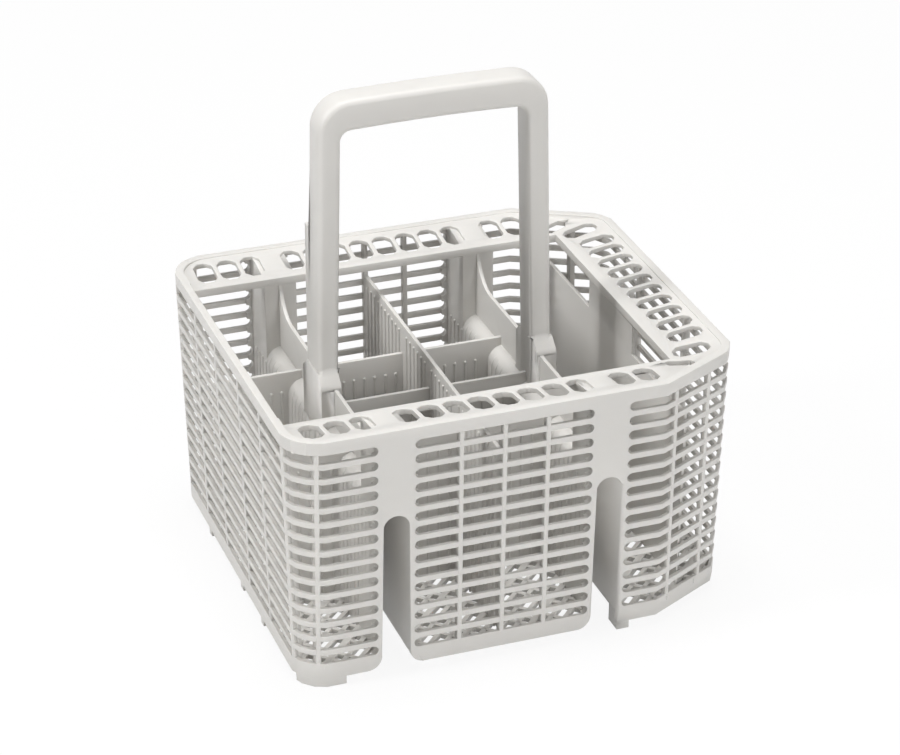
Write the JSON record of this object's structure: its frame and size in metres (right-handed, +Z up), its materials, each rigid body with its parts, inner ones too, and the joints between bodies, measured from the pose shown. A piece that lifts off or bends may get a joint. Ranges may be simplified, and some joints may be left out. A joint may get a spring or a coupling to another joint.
{
  "type": "dishwasher cutlery basket",
  "caption": "Slatted plastic cutlery basket for a dishwasher, with pierced rim plates, partitions, arched tunnels underneath and an upright carrying handle.",
  "frame": {"origin": "middle of the box around the basket, on the plane that its feet stand on", "axes": "+X along the front towards the bevelled end, +Y from the front to the back, +Z up"},
  "size_m": [0.217, 0.1956, 0.2415],
  "materials": {
    "basket": "satin moulded polypropylene, light warm grey"
  },
  "bodies": {
    "root": {"basket": "basket"}
  },
  "joints": []
}
